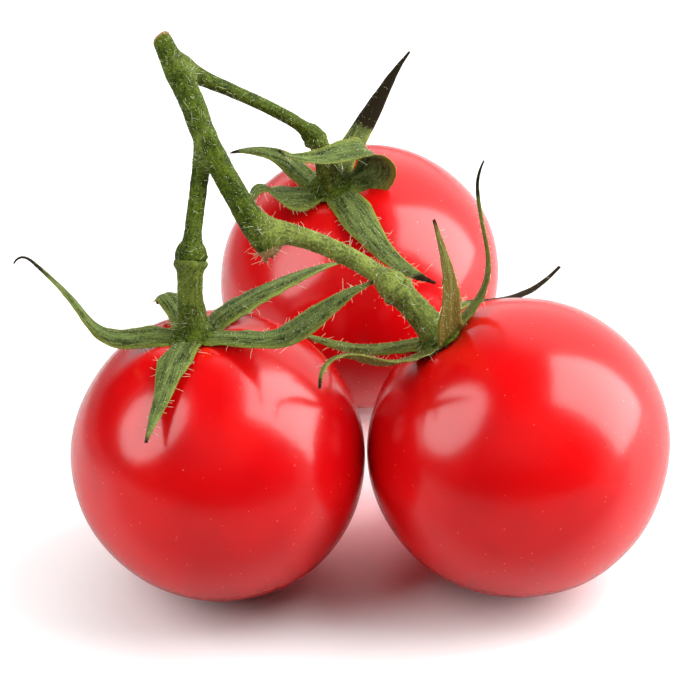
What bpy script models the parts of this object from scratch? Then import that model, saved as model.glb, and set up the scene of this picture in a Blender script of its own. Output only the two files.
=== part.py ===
"""Three cocktail tomatoes on the piece of vine stalk they grew on, resting on a table.

The truss is one natural thing: nothing on it turns or slides. It comes apart, organ by organ,
into three berries, the stalk with a torn stub at its low end, a pedicel to each berry that is
split by its knuckle (the joint where a ripe berry lets go), a calyx base at the top of each
berry, and five sepals around every calyx base.

Design lengths are millimetres and angles are degrees; MM turns them into Blender's metres.
+Z is up, the berries rest on z = 0, and the origin is under the middle of the whole truss.
"""
import math
from dataclasses import dataclass

import bmesh
import bpy
from mathutils import Matrix, Vector, geometry

MM = 0.001

# ---- driving dimensions -------------------------------------------------------------------

GAP = 0.3                 # clearance between any two organs

LEFT_WIDTH = 36.8         # widest diameter of each berry, across its own axis
RIGHT_WIDTH = 38.2
BACK_WIDTH = 37.4
LEFT_HEIGHT = 36.4        # stem end to blossom end, before the dimple
RIGHT_HEIGHT = 37.2
BACK_HEIGHT = 33.4
LEFT_LEAN = 11            # lean of each berry's axis off the vertical, and its compass side
LEFT_LEAN_SIDE = 140
RIGHT_LEAN = 36
RIGHT_LEAN_SIDE = 162
BACK_LEAN = 15
BACK_LEAN_SIDE = 207

PRESS = 0.35              # depth of the flat that each berry's weight presses into its skin
PAIR_TURN = 1.5           # compass turn of the line through the two front berries
BACK_ASIDE = -0.7         # the back berry's place behind the point where the front two touch
BACK_SET = 3.3

DIMPLE_DEPTH = 1.6        # hollow at the stem end, in which the calyx base sits
DIMPLE_RADIUS = 4.5

BASE_RADIUS = 2.3         # calyx base: the small green disc between berry, sepals and pedicel
BASE_THICKNESS = 1.2

SEPAL_THICKNESS = 0.55    # midrib thickness of a sepal; its two margins are sharp
SEPAL_CAMBER = 0.12       # rise of the midrib over the margins, as a share of the width
LEAST_WIDTH = 0.3         # a sepal's tip is no narrower than this
SHOULDER_SHARE = 0.45     # sepals lie on their berry's top out to this share of its width

STALK_CUT_RADIUS = 1.35   # stalk at the cut end, at the two forks, between, and at the stub
STALK_FORK_RADIUS = 1.9
STALK_MID_RADIUS = 1.25
STALK_BEND_RADIUS = 1.65
STALK_STUB_RADIUS = 1.0
ARM_RADIUS = 1.08         # upper pedicel
RIDGE_RADIUS = 1.95       # the two ridges of a knuckle, and the length over which each swells
RIDGE_LENGTH = 1.1
RIDGE_LIP = 0.8           # a ridge's end face, as a share of its radius
RIDGE_CREST = 0.4         # where a ridge is fattest, as a share of its length
TAIL_RADIUS = 1.6         # lower pedicel
FOOT_RADIUS = 2.0         # where it flares on to the calyx base
FOOT_RISE = 3             # the lower pedicel leaves the berry along its axis for this far
NECK_RISE = 2             # and meets the knuckle straight for this far

FRUIT_SEGMENTS = 40
FRUIT_RINGS = 22
STEM_SIDES = 12
BASE_SIDES = 20
STALK_STATIONS = 22
ARM_STATIONS = 12
TAIL_STATIONS = 9
SEPAL_STATIONS = 12
MERGE = 0.0001

# ---- routes -------------------------------------------------------------------------------
# The stalk's turning points, measured from the left berry's dimple, with the radius at each:
# the cut end, the fork of the back pedicel, down past the fork of the left pedicel to the bend
# where the right pedicel leaves, and the torn end of the stub.

STALK_ROUTE = (
    ((-4.5, 32.7, 23.0), STALK_CUT_RADIUS),
    ((-2.3, 27.6, 21.3), STALK_FORK_RADIUS - 0.2),
    ((-0.7, 23.0, 20.5), STALK_FORK_RADIUS),
    ((0.6, 17.6, 19.8), STALK_MID_RADIUS),
    ((2.1, 12.5, 19.0), STALK_MID_RADIUS + 0.15),
    ((5.2, 8.0, 15.8), STALK_MID_RADIUS + 0.1),
    ((8.5, 4.7, 12.0), STALK_BEND_RADIUS),
    ((9.4, 3.7, 9.5), STALK_STUB_RADIUS),
)
BACK_FORK = 1             # which turning point each pedicel grows from
LEFT_FORK = 4
RIGHT_FORK = 6


@dataclass
class Fruit:
    """One berry: its size, where it stands and how it leans."""
    name: str
    width: float
    height: float
    lean: float
    side: float
    plan: Vector

    def axes(self):
        """Rotation whose third column is the berry's axis, blossom end to stem end."""
        lean, side = math.radians(self.lean), math.radians(self.side)
        up = Vector((math.sin(lean) * math.cos(side), math.sin(lean) * math.sin(side), math.cos(lean)))
        right = (Vector((1, 0, 0)) - up * up.x).normalized()
        return Matrix((right, up.cross(right), up)).transposed()

    def reach(self, direction):
        """How far the berry reaches from its centre along a direction."""
        along = self.axes().col[2].dot(direction)
        return math.hypot(self.width / 2 * math.sqrt(1 - along ** 2), self.height / 2 * along)

    def centre(self):
        """Centre of the berry when it is pressed PRESS deep into the table."""
        return Vector((self.plan.x, self.plan.y, self.reach(Vector((0, 0, 1))) - PRESS))

    def place(self, local):
        """A point given from the bottom of the dimple, along the berry's own axes."""
        pole = Vector((0, 0, self.height / 2 - DIMPLE_DEPTH))
        return self.centre() + self.axes() @ (pole + Vector(local))

    def shoulder(self, radius):
        """Height of the skin over the bottom of the dimple, at a radius from the axis."""
        share = min(radius / (self.width / 2), 1)
        dome = self.height / 2 * math.sqrt(1 - share ** 2)
        hollow = DIMPLE_DEPTH * math.exp(-(radius / DIMPLE_RADIUS) ** 2)
        return dome - hollow - (self.height / 2 - DIMPLE_DEPTH)

    def push_out(self, point, room):
        """A world point, moved straight out from the centre until it is room off the skin."""
        out = point - self.centre()
        local = self.axes().transposed() @ out
        depth = math.hypot(math.hypot(local.x, local.y) / (self.width / 2), local.z / (self.height / 2))
        skin = out.length / depth
        return self.centre() + out * max(1, (skin + room) / out.length)

    def clear_height(self, radius, room):
        """Lowest height that stands room off the skin, measured square to the skin."""
        step = 0.01
        slope = (self.shoulder(radius + step) - self.shoulder(radius)) / step
        return self.shoulder(radius) + room * math.hypot(1, slope)


def lay_out():
    """Stand the front two side by side, a gap apart, and the third behind where they touch."""
    line = Vector((math.cos(math.radians(PAIR_TURN)), math.sin(math.radians(PAIR_TURN)), 0))
    left = Fruit("left", LEFT_WIDTH, LEFT_HEIGHT, LEFT_LEAN, LEFT_LEAN_SIDE, Vector())
    right = Fruit("right", RIGHT_WIDTH, RIGHT_HEIGHT, RIGHT_LEAN, RIGHT_LEAN_SIDE, Vector())
    back = Fruit("back", BACK_WIDTH, BACK_HEIGHT, BACK_LEAN, BACK_LEAN_SIDE, Vector())
    left.plan = -line * (left.reach(line) + GAP / 2)
    right.plan = line * (right.reach(line) + GAP / 2)
    behind = BACK_SET + BACK_WIDTH / 2 + (LEFT_WIDTH + RIGHT_WIDTH) / 4
    back.plan = Vector((BACK_ASIDE, behind, 0))
    return left, right, back


# ---- modelling helpers --------------------------------------------------------------------

def material(name, colour, roughness, metallic=0.0):
    """A Principled material; colour is linear RGB."""
    made = bpy.data.materials.new(name)
    made.use_nodes = True
    shader = made.node_tree.nodes["Principled BSDF"]
    shader.inputs["Base Color"].default_value = (*colour, 1)
    shader.inputs["Roughness"].default_value = roughness
    shader.inputs["Metallic"].default_value = metallic
    made.diffuse_color = (*colour, 1)
    return made


def finish(name, mesh_data, skin, sharp_angle=50):
    """Turn a bmesh in millimetres into a named object in metres."""
    bmesh.ops.scale(mesh_data, vec=(MM, MM, MM), verts=mesh_data.verts)
    bmesh.ops.recalc_face_normals(mesh_data, faces=mesh_data.faces)
    mesh = bpy.data.meshes.new(name)
    mesh_data.to_mesh(mesh)
    mesh_data.free()
    mesh.materials.append(skin)
    mesh.shade_smooth()
    mesh.set_sharp_from_angle(angle=math.radians(sharp_angle))
    made = bpy.data.objects.new(name, mesh)
    bpy.context.scene.collection.objects.link(made)
    return made


def blend(values, share):
    """Smooth curve through equally spaced values, read at a share from 0 to 1."""
    last = len(values) - 1
    if last == 0:
        return values[0]
    place = min(max(share, 0) * last, last - 1e-9)
    index = int(place)
    u = place - index
    before, here = values[max(index - 1, 0)], values[index]
    there, after = values[index + 1], values[min(index + 2, last)]
    return 0.5 * (2 * here + (there - before) * u
                  + (2 * before - 5 * here + 4 * there - after) * u ** 2
                  + (3 * here - before - 3 * there + after) * u ** 3)


def loft(rings):
    """Join equal rings of points into a closed bmesh with a flat cap at each end."""
    made = bmesh.new()
    loops = [[made.verts.new(point) for point in ring] for ring in rings]
    sides = len(loops[0])
    for low, high in zip(loops, loops[1:]):
        for i in range(sides):
            j = (i + 1) % sides
            made.faces.new((low[i], low[j], high[j], high[i]))
    made.faces.new(loops[0])
    made.faces.new(loops[-1])
    return made


def tube(points, radii, sides=STEM_SIDES):
    """Round stem through the points, turned as little as possible from ring to ring."""
    rings = []
    across = Vector((1, 0, 0))
    for i, point in enumerate(points):
        ahead = points[min(i + 1, len(points) - 1)] - points[max(i - 1, 0)]
        ahead.normalize()
        across = (across - ahead * across.dot(ahead)).normalized()
        over = ahead.cross(across)
        turns = [2 * math.pi * k / sides for k in range(sides)]
        rings.append([point + (across * math.cos(a) + over * math.sin(a)) * radii[i] for a in turns])
    return loft(rings)


# ---- organs -------------------------------------------------------------------------------

def make_berry(fruit, skin):
    """Turned berry with a dimple at the stem end, cut flat where it rests on the table."""
    made = bmesh.new()
    profile = []
    for i in range(FRUIT_RINGS + 1):
        turn = math.pi * i / FRUIT_RINGS
        radius = fruit.width / 2 * math.sin(turn)
        height = fruit.height / 2 * math.cos(turn)
        if turn < math.pi / 2:
            height -= DIMPLE_DEPTH * math.exp(-(radius / DIMPLE_RADIUS) ** 2)
        profile.append(made.verts.new((radius, 0, height)))
    edges = [made.edges.new(pair) for pair in zip(profile, profile[1:])]
    bmesh.ops.spin(made, geom=profile + edges, cent=(0, 0, 0), axis=(0, 0, 1), dvec=(0, 0, 0),
                   angle=2 * math.pi, steps=FRUIT_SEGMENTS)
    bmesh.ops.remove_doubles(made, verts=made.verts, dist=MERGE)
    axes = fruit.axes()
    table = axes.transposed() @ Vector((0, 0, -fruit.centre().z))
    down = axes.transposed() @ Vector((0, 0, -1))
    bmesh.ops.bisect_plane(made, geom=made.verts[:] + made.edges[:] + made.faces[:], dist=MERGE,
                           plane_co=table, plane_no=down, clear_outer=True)
    rim = [edge for edge in made.edges if edge.is_boundary]
    bmesh.ops.edgenet_fill(made, edges=rim)
    berry = finish(f"{fruit.name}_fruit", made, skin, sharp_angle=12)
    berry.matrix_world = Matrix.Translation(fruit.centre() * MM) @ axes.to_4x4()
    return berry


def make_base(fruit, skin):
    """Calyx base: a disc whose underside follows the dimple a gap away."""
    top = fruit.shoulder(0) + GAP + BASE_THICKNESS
    under = [0.35, 0.7, 1.0]
    rings = [(BASE_RADIUS * share, fruit.shoulder(BASE_RADIUS * share) + GAP) for share in under]
    rings.append((BASE_RADIUS, top - BASE_THICKNESS * 0.3))
    rings.append((BASE_RADIUS * 0.85, top))
    turns = [2 * math.pi * k / BASE_SIDES for k in range(BASE_SIDES)]
    made = loft([[fruit.place((r * math.cos(a), r * math.sin(a), z)) for a in turns] for r, z in rings])
    return finish(f"{fruit.name}_calyx_base", made, skin)


def make_tail(fruit, knuckle, heading, skin):
    """Lower pedicel, from the calyx base up to the lower ridge of the knuckle."""
    start = fruit.shoulder(0) + BASE_THICKNESS + 2 * GAP
    foot, lift = fruit.place((0, 0, start)), fruit.place((0, 0, start + FOOT_RISE))
    end = knuckle - heading * GAP / 2
    neck = end - heading * RIDGE_LENGTH
    points = geometry.interpolate_bezier(foot, lift, neck - heading * NECK_RISE, neck, TAIL_STATIONS)
    radii = []
    for i in range(TAIL_STATIONS):
        share = i / (TAIL_STATIONS - 1)
        radii.append(TAIL_RADIUS + (FOOT_RADIUS - TAIL_RADIUS) * max(1 - share * 3, 0) ** 2)
    points += [end - heading * RIDGE_LENGTH * RIDGE_CREST, end]
    radii += [RIDGE_RADIUS, RIDGE_RADIUS * RIDGE_LIP]
    return finish(f"{fruit.name}_lower_pedicel", tube(points, radii), skin)


def make_arm(fruit, knuckle, heading, fork, arrive, cutter, skin):
    """Upper pedicel, from the upper ridge of the knuckle to the stalk, coped to the stalk."""
    start = knuckle + heading * GAP / 2
    neck = start + heading * RIDGE_LENGTH
    handle = heading * (fork - neck).length / 6
    points = [start, start + heading * RIDGE_LENGTH * RIDGE_CREST]
    points += geometry.interpolate_bezier(neck, neck + handle, fork + arrive, fork, ARM_STATIONS)
    radii = [RIDGE_RADIUS * RIDGE_LIP, RIDGE_RADIUS] + [ARM_RADIUS] * ARM_STATIONS
    arm = finish(f"{fruit.name}_upper_pedicel", tube(points, radii), skin)
    cope = arm.modifiers.new("cope to the stalk", "BOOLEAN")
    cope.operation = "DIFFERENCE"
    cope.solver = "EXACT"
    cope.object = cutter
    return arm


def grow_pedicel(fruit, offset, heading, fork, arrive, cutter, skin):
    """Both halves of a pedicel.

    offset is the knuckle's place from the bottom of the berry's dimple, heading the pedicel's
    direction through it, and arrive the pull that shapes its last stretch into the fork.
    """
    knuckle = fruit.place((0, 0, 0)) + Vector(offset)
    ahead = Vector(heading).normalized()
    make_tail(fruit, knuckle, ahead, skin)
    make_arm(fruit, knuckle, ahead, fork, Vector(arrive), cutter, skin)


def make_stalk(name, origin, grow, skin):
    """The stalk; grow fattens it into the cutter that copes the pedicels."""
    route = [origin + Vector(point) for point, _ in STALK_ROUTE]
    sizes = [radius for _, radius in STALK_ROUTE]
    points, radii = [], []
    for i in range(STALK_STATIONS):
        share = i / (STALK_STATIONS - 1)
        points.append(Vector([blend([p[k] for p in route], share) for k in range(3)]))
        radii.append(blend(sizes, share) + grow)
    return finish(name, tube(points, radii), skin), route


def make_sepal(name, fruit, others, skin, bearing, length, slopes, widths, sway=(0,), twist=(0,)):
    """One sepal, from the calyx base outwards.

    slopes are its climb off the calyx plane, sway its swing off the bearing and twist its roll,
    in degrees at equal steps from root to tip; widths are its full widths at equal steps.
    Where it would sink into a berry it lies on the skin instead, a gap away.
    """
    outline = ((1, 0), (0.5, 0.8), (0, 1), (-0.5, 0.8), (-1, 0), (-0.5, -0.8), (0, -1), (0.5, -0.8))
    step = length / SEPAL_STATIONS
    turn = math.radians(bearing)
    lift = fruit.shoulder(BASE_RADIUS) + GAP + SEPAL_THICKNESS / 2
    reach = BASE_RADIUS + GAP
    point = Vector((reach * math.cos(turn), reach * math.sin(turn), lift))
    rings = []
    for i in range(SEPAL_STATIONS + 1):
        share = i / SEPAL_STATIONS
        climb = math.radians(blend(slopes, share))
        heading = turn + math.radians(blend(sway, share))
        flat = Vector((math.cos(heading), math.sin(heading), 0))
        ahead = flat * math.cos(climb) + Vector((0, 0, math.sin(climb)))
        side = Vector((-math.sin(heading), math.cos(heading), 0))
        roll = Matrix.Rotation(math.radians(blend(twist, share)), 3, ahead)
        side = roll @ side
        over = ahead.cross(side)
        if i:
            point = point + (ahead + last_ahead) * step / 2
        last_ahead = ahead
        half = max(blend(widths, share), LEAST_WIDTH) / 2
        thick = min(SEPAL_THICKNESS, half * 1.2) / 2
        sag = SEPAL_CAMBER * half * 2
        radius = math.hypot(point.x, point.y)
        if radius < fruit.width * SHOULDER_SHARE:
            point.z = max(point.z, fruit.clear_height(radius, GAP + thick + sag))
        middle = fruit.place(point)
        for other in others:
            middle = other.push_out(middle, GAP + half)
        row = []
        for across, rise in outline:
            level = rise * thick - sag * across ** 2
            row.append(middle + fruit.axes() @ (side * half * across + over * level))
        rings.append(row)
    return finish(name, loft(rings), skin, sharp_angle=60)


# ---- the truss ----------------------------------------------------------------------------

def make_left(fruit, others, cutter, forks, stem, leaf):
    """Left berry's pedicel and sepals."""
    grow_pedicel(fruit, (-0.5, 2.7, 10.4), (0.2, 1.6, 2.4), forks[LEFT_FORK], (-1.3, -3.4, -2.7),
                 cutter, stem)
    make_sepal("left_sepal_outer", fruit, others, leaf, bearing=185, length=23.5,
               slopes=(15, 18, 60, 64, 10), widths=(2.6, 3.4, 1.7, 0.9, 0.4))
    make_sepal("left_sepal_front", fruit, others, leaf, bearing=-110, length=16,
               slopes=(6, -10, -28, -26, -36), widths=(2.8, 4.4, 2.9, 1.8, 0.5), sway=(0, 1, 0, -3, -5))
    make_sepal("left_sepal_inner_front", fruit, others, leaf, bearing=-33, length=28.5,
               slopes=(8, 10, 34, 36, 28), widths=(2.8, 3.2, 3.7, 2.5, 0.5), twist=(0, 10, 45, 50, 40))
    make_sepal("left_sepal_inner_back", fruit, others, leaf, bearing=38, length=20.5,
               slopes=(16, 4, -2, -6, -16), widths=(2.6, 3.5, 3.1, 2.2, 0.8))
    make_sepal("left_sepal_rear", fruit, others, leaf, bearing=118, length=8.5,
               slopes=(34, 36, 14, -30, -60), widths=(2.6, 2.8, 2.6, 1.8, 0.6))


def make_right(fruit, others, cutter, forks, stem, leaf):
    """Right berry's pedicel and sepals."""
    grow_pedicel(fruit, (-6.1, 1.0, 7.9), (-4.5, 1.2, 4.2), forks[RIGHT_FORK], (5.0, 0.3, 1.2),
                 cutter, stem)
    make_sepal("right_sepal_front", fruit, others, leaf, bearing=-60, length=24.5,
               slopes=(47, 39, 45, 55, 58), widths=(2.6, 2.9, 2.5, 1.6, 0.6))
    make_sepal("right_sepal_outer", fruit, others, leaf, bearing=8, length=21.5,
               slopes=(12, 34, 60, 62, 48), widths=(2.4, 2.6, 1.8, 1.1, 0.4))
    make_sepal("right_sepal_rear", fruit, others, leaf, bearing=70, length=25,
               slopes=(3, -20, -30, -20, 2), widths=(2.4, 2.2, 1.6, 1.1, 0.4), sway=(0, -5, -14, -26, -34))
    make_sepal("right_sepal_inner_front", fruit, others, leaf, bearing=-129, length=20.5,
               slopes=(4, 36, 54, 25, -40), widths=(2.4, 2.8, 2.2, 1.4, 0.4))
    make_sepal("right_sepal_inner_back", fruit, others, leaf, bearing=148, length=19.5,
               slopes=(6, 8, 20, 36, 30), widths=(2.4, 2.6, 2.0, 1.3, 0.4))


def make_back(fruit, others, cutter, forks, stem, leaf):
    """Back berry's pedicel and sepals."""
    grow_pedicel(fruit, (-2.6, 0.1, 8.8), (-2.4, -1.2, 4.0), forks[BACK_FORK], (5.2, 2.9, -3.6),
                 cutter, stem)
    make_sepal("back_sepal_outer", fruit, others, leaf, bearing=150, length=14.3,
               slopes=(40, 44, 6, -14, -26), widths=(2.4, 2.9, 2.0, 1.2, 0.4))
    make_sepal("back_sepal_curled", fruit, others, leaf, bearing=213, length=11,
               slopes=(28, 36, 42, 64, -70), widths=(2.6, 3.6, 2.8, 1.0, 0.5))
    make_sepal("back_sepal_front", fruit, others, leaf, bearing=-60, length=21.4,
               slopes=(8, -13, -17, -2, 8), widths=(2.8, 4.6, 3.2, 2.1, 1.0), sway=(0, -6, 2, 8, 9))
    make_sepal("back_sepal_folded", fruit, others, leaf, bearing=6, length=21,
               slopes=(10, 8, 50, 132, 164, 160, 156, 152, 150), widths=(2.8, 3.6, 3.8, 2.6, 0.6),
               sway=(0, 0, 6, 24, 24, 18, 14))
    make_sepal("back_sepal_rear", fruit, others, leaf, bearing=70, length=20,
               slopes=(8, 10, 20, 24, 18), widths=(2.6, 3.6, 3.0, 1.9, 0.5), sway=(0, -10, -18, -24, -28))


def make_truss():
    """Every organ of the truss, with its origin moved under the middle of the whole."""
    skin = material("ripe_skin", (0.72, 0.008, 0.006), 0.22)
    stem = material("stem_green", (0.09, 0.19, 0.035), 0.6)
    leaf = material("sepal_green", (0.07, 0.16, 0.035), 0.65)
    base = material("calyx_green", (0.12, 0.22, 0.045), 0.6)

    left, right, back = lay_out()
    for fruit in (left, right, back):
        make_berry(fruit, skin)
        make_base(fruit, base)
    _, forks = make_stalk("truss_stalk", left.place((0, 0, 0)), 0, stem)
    cutter, _ = make_stalk("stalk_cutter", left.place((0, 0, 0)), GAP, stem)
    cutter.hide_render = True
    cutter.display_type = "WIRE"
    make_left(left, (right, back), cutter, forks, stem, leaf)
    make_right(right, (left, back), cutter, forks, stem, leaf)
    make_back(back, (left, right), cutter, forks, stem, leaf)
    centre_truss()


def centre_truss():
    """Hang every organ on one empty, and slide it until the origin is under the middle."""
    truss = bpy.data.objects.new("truss", None)
    bpy.context.scene.collection.objects.link(truss)
    bpy.context.view_layer.update()
    solids = [o for o in bpy.context.scene.objects if o.type == "MESH" and not o.hide_render]
    corners = [o.matrix_world @ v.co for o in solids for v in o.data.vertices]
    middle = [(min(c[k] for c in corners) + max(c[k] for c in corners)) / 2 for k in range(2)]
    for piece in bpy.context.scene.objects:
        if piece is not truss:
            piece.parent = truss
    truss.location = (-middle[0], -middle[1], 0)


for old in list(bpy.data.objects):
    bpy.data.objects.remove(old, do_unlink=True)
make_truss()
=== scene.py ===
# %% [markdown]
# # Three ripe tomatoes on one truss
#
# A truss is the branch that a tomato plant hangs its fruit on. This one was picked whole:
# three small round berries, the stalk that joins them, and a star of five thin green
# sepals on each berry. Nothing here was assembled by hand, it all grew together, so the
# lesson builds it the way it grew: berries first, then the stalk, then the leaves, and
# last the fine pale hair that covers everything green.
#
# The measured model comes first. It is a fixed frame of plain solids in metres, and every
# piece below is a finer version of one of its solids, standing in the same place.

# %% Load the measured frame
import math
import random

import bmesh
import bpy
import numpy as np
from mathutils import Matrix, Vector, geometry, noise


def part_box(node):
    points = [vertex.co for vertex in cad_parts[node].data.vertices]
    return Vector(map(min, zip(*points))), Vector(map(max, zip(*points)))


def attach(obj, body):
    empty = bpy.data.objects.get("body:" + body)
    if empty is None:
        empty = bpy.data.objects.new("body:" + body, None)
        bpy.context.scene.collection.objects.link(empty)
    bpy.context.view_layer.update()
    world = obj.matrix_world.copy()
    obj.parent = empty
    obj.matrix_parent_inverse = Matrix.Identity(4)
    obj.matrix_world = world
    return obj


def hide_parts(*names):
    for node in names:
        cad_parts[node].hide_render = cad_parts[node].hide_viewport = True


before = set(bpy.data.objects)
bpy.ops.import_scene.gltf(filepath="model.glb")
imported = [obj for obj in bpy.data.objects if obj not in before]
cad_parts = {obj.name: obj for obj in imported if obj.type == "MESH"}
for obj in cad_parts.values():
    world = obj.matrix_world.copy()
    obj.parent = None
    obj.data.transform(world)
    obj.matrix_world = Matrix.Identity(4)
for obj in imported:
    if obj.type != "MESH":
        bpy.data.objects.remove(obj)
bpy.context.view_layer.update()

MM = 0.001                       # the lesson thinks in millimetres, Blender in metres

# %% [markdown]
# ## The berries as measures
#
# Each berry is a slightly flattened ball that leans as it lies. Four numbers say it all:
# width, height along its own axis, how far that axis leans off upright, and towards which
# side. A small class keeps them together, because every sepal and stem has to ask the
# berry where its skin is. Where it stands is read from the frame.

# %% Berry measures
DIMPLE_DEPTH, DIMPLE_RADIUS = 1.6, 3.6       # the hollow that the stem sits in
PRESS = 0.35                                 # how far a berry's own weight flattens it
SLOPE_STEP = 0.01                            # how far apart two heights are read for a slope


class Berry:
    """One berry: its size in mm, its lean, and the turn from its own axes to the room's."""

    def __init__(self, name, width, height, lean, side):
        self.name, self.width, self.height = name, width, height
        lean, side = math.radians(lean), math.radians(side)
        tilt = math.sin(lean)
        up = Vector((tilt * math.cos(side), tilt * math.sin(side), math.cos(lean)))
        right = (Vector((1, 0, 0)) - up * up.x).normalized()
        self.axes = Matrix((right, up.cross(right), up)).transposed()
        reach = math.hypot(width / 2 * math.sqrt(1 - up.z ** 2), height / 2 * up.z)
        low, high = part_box(f"{name}_fruit")
        x, y = ((low[k] + high[k]) / 2 / MM for k in (0, 1))
        self.centre = Vector((x, y, reach - PRESS))

    def place(self, local):
        """A point given from the bottom of the dimple, turned and moved into the room."""
        pole = Vector((0, 0, self.height / 2 - DIMPLE_DEPTH))
        return self.centre + self.axes @ (pole + Vector(local))

    def shoulder(self, radius):
        """Height of the skin over the bottom of the dimple, at a radius from the axis."""
        share = min(radius / (self.width / 2), 1)
        dome = self.height / 2 * math.sqrt(1 - share ** 2)
        hollow = DIMPLE_DEPTH * math.exp(-(radius / DIMPLE_RADIUS) ** 2)
        return dome - hollow - (self.height / 2 - DIMPLE_DEPTH)

    def clear_height(self, radius, room):
        """Lowest height that stands room off the skin, measured square to the skin."""
        slope = (self.shoulder(radius + SLOPE_STEP) - self.shoulder(radius)) / SLOPE_STEP
        return self.shoulder(radius) + room * math.hypot(1, slope)

    def push_out(self, point, room):
        """A point, moved straight out from the centre until it is room off the skin."""
        out = point - self.centre
        local = self.axes.transposed() @ out
        level = math.hypot(local.x, local.y)
        depth = math.hypot(level / (self.width / 2), local.z / (self.height / 2))
        return self.centre + out * max(1, (out.length / depth + room) / out.length)


left = Berry("left", width=36.8, height=36.4, lean=11, side=140)
right = Berry("right", width=38.2, height=37.2, lean=36, side=162)
back = Berry("back", width=37.4, height=33.4, lean=15, side=207)
berries = (left, right, back)
for berry in berries:
    print(berry.name, "berry centre", [round(c, 2) for c in berry.centre])

# %% [markdown]
# ## Camera
#
# The truss is seen from a good third of a right angle above the table, from about half a
# metre. A long lens keeps the berries round. The camera aims at a point beside the left
# berry, which puts the whole truss in the middle of the picture.

# %% Camera
CAMERA_RISE = math.radians(36)
CAMERA_DISTANCE = 0.5
SENSOR_WIDTH, LENS = 36, 204.43
AIM_BESIDE, AIM_BEHIND, AIM_HEIGHT = 16.55, 9.4, 27.4      # mm from the left berry, and up
aim_x, aim_y = left.centre.x + AIM_BESIDE, left.centre.y + AIM_BEHIND
aim = Vector((aim_x * MM, aim_y * MM, AIM_HEIGHT * MM))
towards = Vector((0, -math.cos(CAMERA_RISE), math.sin(CAMERA_RISE)))
camera_data = bpy.data.cameras.new("camera")
camera_data.sensor_width = SENSOR_WIDTH
camera_data.lens = LENS
camera_data.clip_start = 0.01
camera = bpy.data.objects.new("camera", camera_data)
camera.location = aim + towards * CAMERA_DISTANCE
camera.rotation_euler = (math.pi / 2 - CAMERA_RISE, 0, 0)
bpy.context.scene.collection.objects.link(camera)
bpy.context.scene.camera = camera
print("camera at", [round(c, 3) for c in camera.location])

# %% [markdown]
# ## A small kit for shader nodes
#
# A procedural material is a little tree of nodes. A few helpers keep the trees short to
# write. One places a node with its settings and wires, one starts a material and hands back
# its tree and its shader, and one starts a node group, a reusable effect with named
# sockets. The small ones after them are the steps that every tree needs.

# %% Shader helpers
def place(tree, kind, wires=None, **settings):
    """Adds a node; wires maps its input sockets to a value or to another node's output."""
    made = tree.nodes.new(kind)
    for key, value in settings.items():
        setattr(made, key, value)
    for socket, value in (wires or {}).items():
        if isinstance(value, bpy.types.NodeSocket):
            tree.links.new(value, made.inputs[socket])
        else:
            made.inputs[socket].default_value = value
    return made


def start_material(name, **sockets):
    """A material with its Principled shader; sockets set the shader's own plain values."""
    made = bpy.data.materials.new(name)
    made.use_nodes = True
    shader = made.node_tree.nodes["Principled BSDF"]
    for key, value in sockets.items():
        shader.inputs[key.replace("_", " ")].default_value = value
    return made, made.node_tree, shader


def start_group(name, inputs, outputs):
    """A node group; inputs and outputs are (name, kind, default) and (name, kind)."""
    tree = bpy.data.node_groups.new(name, "ShaderNodeTree")
    sockets = tree.interface
    for label, kind, default in inputs:
        socket = sockets.new_socket(label, in_out="INPUT", socket_type=f"NodeSocket{kind}")
        socket.default_value = default
    for label, kind in outputs:
        sockets.new_socket(label, in_out="OUTPUT", socket_type=f"NodeSocket{kind}")
    given = tree.nodes.new("NodeGroupInput").outputs
    return tree, given, tree.nodes.new("NodeGroupOutput").inputs


def use_group(tree, group, wires):
    """Places a node group in a material and hands back its outputs."""
    return place(tree, "ShaderNodeGroup", wires, node_tree=group).outputs


def stepped(tree, value, low, high, to_low=0.0, to_high=1.0):
    """A smooth step: to_low below low, to_high above high."""
    ends = {"From Min": low, "From Max": high, "To Min": to_low, "To Max": to_high}
    return place(tree, "ShaderNodeMapRange", {"Value": value, **ends},
                 interpolation_type="SMOOTHSTEP").outputs["Result"]


def mixed(tree, share, *colours):
    """Mixes two colours, given as colours or as wires."""
    first, second = ((*c, 1) if isinstance(c, (tuple, list)) else c for c in colours)
    return place(tree, "ShaderNodeMix", {0: share, 6: first, 7: second},
                 data_type="RGBA").outputs[2]


def weighed(tree, share, first, second):
    """Mixes two values."""
    return place(tree, "ShaderNodeMix", {0: share, 2: first, 3: second}).outputs[0]


def maths(tree, operation, *values):
    """One sum of two or three values."""
    return place(tree, "ShaderNodeMath", dict(enumerate(values)), operation=operation).outputs[0]


def clouded(tree, where, scale, detail=2.0):
    """Soft noise, from 0 to 1."""
    wires = {"Vector": where, "Scale": scale, "Detail": detail}
    return place(tree, "ShaderNodeTexNoise", wires).outputs["Fac"]


def mark(tree, name):
    """A value that the mesh carries at its points."""
    return place(tree, "ShaderNodeAttribute", attribute_name=name).outputs["Fac"]


def room_point(tree):
    """The surface point in the room, in metres, so neighbours share one pattern."""
    return place(tree, "ShaderNodeTexCoord").outputs["Object"]


print("shader helpers ready")

# %% [markdown]
# ## Scattered specks
#
# Ripe skin shows tiny pale pores, and green stems show short glistening gland hairs. Both
# are small dots that never line up. Voronoi cells put one dot in each cell, and a second
# random number per cell leaves most cells empty. The group gives a mask for colour and
# the same mask is used as height.

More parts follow.
